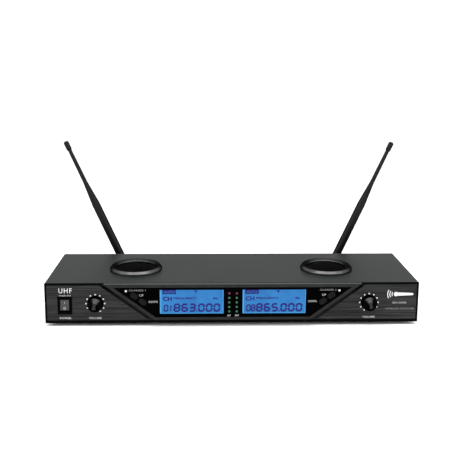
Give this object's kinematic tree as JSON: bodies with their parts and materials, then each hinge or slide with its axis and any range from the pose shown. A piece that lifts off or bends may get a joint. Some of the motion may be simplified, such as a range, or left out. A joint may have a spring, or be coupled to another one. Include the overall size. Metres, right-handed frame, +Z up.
{
  "type": "wireless microphone receiver",
  "caption": "Full-width receiver case with a slanted display window, keys and knobs, raised round charging wells on top and hinged whip antennas on the rear.",
  "frame": {"origin": "under the middle of the whole unit, on the surface that the feet stand on", "axes": "+X to the unit's right as seen from the front, +Y from the front panel to the rear, +Z up"},
  "size_m": [0.4218, 0.1628, 0.1917],
  "materials": {
    "cover_steel": "satin dark grey powder coat",
    "case_steel": "satin black powder coat",
    "frame_plastic": "fine-textured black",
    "trim_metal": "brushed, dark anodised",
    "bezel_plastic": "satin dark grey",
    "window_pane": "high-gloss smoked black",
    "lcd_glass": "back-lit blue display",
    "backlight": "white diffuser",
    "green_lens": "clear green",
    "red_lens": "clear red",
    "white_lens": "frosted white",
    "key_rubber": "matt dark grey",
    "knob_plastic": "glossy black",
    "switch_plastic": "satin black",
    "rocker_plastic": "smoked translucent grey",
    "ring_plastic": "semi-gloss black",
    "cup_plastic": "satin black",
    "contact_metal": "gold-plated",
    "screw_steel": "black oxide",
    "pcb": "green solder mask",
    "pot_metal": "nickel plated",
    "tin": "tinned plate",
    "capacitor_sleeve": "dark blue sleeve",
    "heatsink_aluminium": "extruded",
    "standoff_brass": "turned",
    "nickel": "nickel plated",
    "socket_metal": "black chromate",
    "jack_plastic": "black nylon",
    "antenna_plastic": "satin black",
    "foot_rubber": "matt black"
  },
  "bodies": {
    "case": {"top_cover": "cover_steel", "base_tray": "case_steel", "rear_panel": "case_steel", "front_frame": "frame_plastic", "trim_plate_left": "trim_metal", "trim_plate_right": "trim_metal", "display_bezel": "bezel_plastic", "display_window": "window_pane", "feet": "foot_rubber", "foot_screws": "screw_steel", "cover_screws": "screw_steel", "front_screws": "screw_steel", "display_board": "pcb", "lcd_glass_left": "lcd_glass", "lcd_glass_right": "lcd_glass", "lcd_backlights": "backlight", "green_leds": "green_lens", "red_leds": "red_lens", "charge_leds": "white_lens", "tact_switches": "switch_plastic", "volume_pots": "pot_metal", "pot_nuts": "pot_metal", "power_switch_body": "switch_plastic", "charger_rings": "ring_plastic", "charger_cups": "cup_plastic", "charge_boards": "pcb", "main_board": "pcb", "shield_cans": "tin", "standoffs": "standoff_brass", "board_screws": "screw_steel", "capacitors": "capacitor_sleeve", "heatsink": "heatsink_aluminium", "bnc_jacks": "nickel", "bnc_nuts": "nickel", "xlr_shells": "socket_metal", "xlr_pins": "contact_metal", "line_jack": "jack_plastic", "dc_inlet": "jack_plastic", "connector_screws": "screw_steel"},
    "up_key_left": {"button_up_left": "key_rubber"},
    "down_key_left": {"button_down_left": "key_rubber"},
    "volume_left": {"volume_knob_left": "knob_plastic", "volume_shaft_left": "pot_metal"},
    "contacts_left": {"charge_pins_left": "contact_metal"},
    "bayonet_left": {"antenna_collar_left": "nickel"},
    "elbow_left": {"antenna_plug_left": "antenna_plastic", "antenna_pin_left": "screw_steel"},
    "whip_left": {"antenna_whip_left": "antenna_plastic", "antenna_tip_left": "antenna_plastic"},
    "up_key_right": {"button_up_right": "key_rubber"},
    "down_key_right": {"button_down_right": "key_rubber"},
    "volume_right": {"volume_knob_right": "knob_plastic", "volume_shaft_right": "pot_metal"},
    "contacts_right": {"charge_pins_right": "contact_metal"},
    "bayonet_right": {"antenna_collar_right": "nickel"},
    "elbow_right": {"antenna_plug_right": "antenna_plastic", "antenna_pin_right": "screw_steel"},
    "whip_right": {"antenna_whip_right": "antenna_plastic", "antenna_tip_right": "antenna_plastic"},
    "rocker": {"power_rocker": "rocker_plastic"}
  },
  "joints": [
    {"name": "up_key_left_press", "type": "slide", "parent": "case", "child": "up_key_left", "axis": [0, 1, 0], "range_m": [0, 0.0006], "stiffness_N_per_m": 800},
    {"name": "down_key_left_press", "type": "slide", "parent": "case", "child": "down_key_left", "axis": [0, 1, 0], "range_m": [0, 0.0006], "stiffness_N_per_m": 800},
    {"name": "up_key_right_press", "type": "slide", "parent": "case", "child": "up_key_right", "axis": [0, 1, 0], "range_m": [0, 0.0006], "stiffness_N_per_m": 800},
    {"name": "down_key_right_press", "type": "slide", "parent": "case", "child": "down_key_right", "axis": [0, 1, 0], "range_m": [0, 0.0006], "stiffness_N_per_m": 800},
    {"name": "volume_left_turn", "type": "hinge", "parent": "case", "child": "volume_left", "pos_m": [-0.1538, -0.0749, 0.027], "axis": [0, 1, 0], "range_deg": [-162, 138]},
    {"name": "volume_right_turn", "type": "hinge", "parent": "case", "child": "volume_right", "pos_m": [0.1538, -0.0749, 0.027], "axis": [0, 1, 0], "range_deg": [-138, 162]},
    {"name": "power_rock", "type": "hinge", "parent": "case", "child": "rocker", "pos_m": [-0.1877, -0.0669, 0.0251], "axis": [1, 0, 0], "range_deg": [0, 20]},
    {"name": "contacts_left_press", "type": "slide", "parent": "case", "child": "contacts_left", "axis": [0, 0, -1], "range_m": [0, 0.0014], "stiffness_N_per_m": 600},
    {"name": "contacts_right_press", "type": "slide", "parent": "case", "child": "contacts_right", "axis": [0, 0, -1], "range_m": [0, 0.0014], "stiffness_N_per_m": 600},
    {"name": "bayonet_left_turn", "type": "hinge", "parent": "elbow_left", "child": "bayonet_left", "pos_m": [-0.1355, 0.0601, 0.027], "axis": [0, 1, 0], "range_deg": [0, 90]},
    {"name": "antenna_left_swivel", "type": "hinge", "parent": "case", "child": "elbow_left", "pos_m": [-0.1355, 0.0601, 0.027], "axis": [0, 1, 0], "range_deg": [-66, 54]},
    {"name": "antenna_left_fold", "type": "hinge", "parent": "elbow_left", "child": "whip_left", "pos_m": [-0.1355, 0.0761, 0.027], "axis": [-0.9135, 0, -0.4067], "range_deg": [0, 90]},
    {"name": "bayonet_right_turn", "type": "hinge", "parent": "elbow_right", "child": "bayonet_right", "pos_m": [0.1355, 0.0601, 0.027], "axis": [0, 1, 0], "range_deg": [0, 90]},
    {"name": "antenna_right_swivel", "type": "hinge", "parent": "case", "child": "elbow_right", "pos_m": [0.1355, 0.0601, 0.027], "axis": [0, 1, 0], "range_deg": [-54, 66]},
    {"name": "antenna_right_fold", "type": "hinge", "parent": "elbow_right", "child": "whip_right", "pos_m": [0.1355, 0.0761, 0.027], "axis": [-0.9135, 0, 0.4067], "range_deg": [0, 90]}
  ]
}
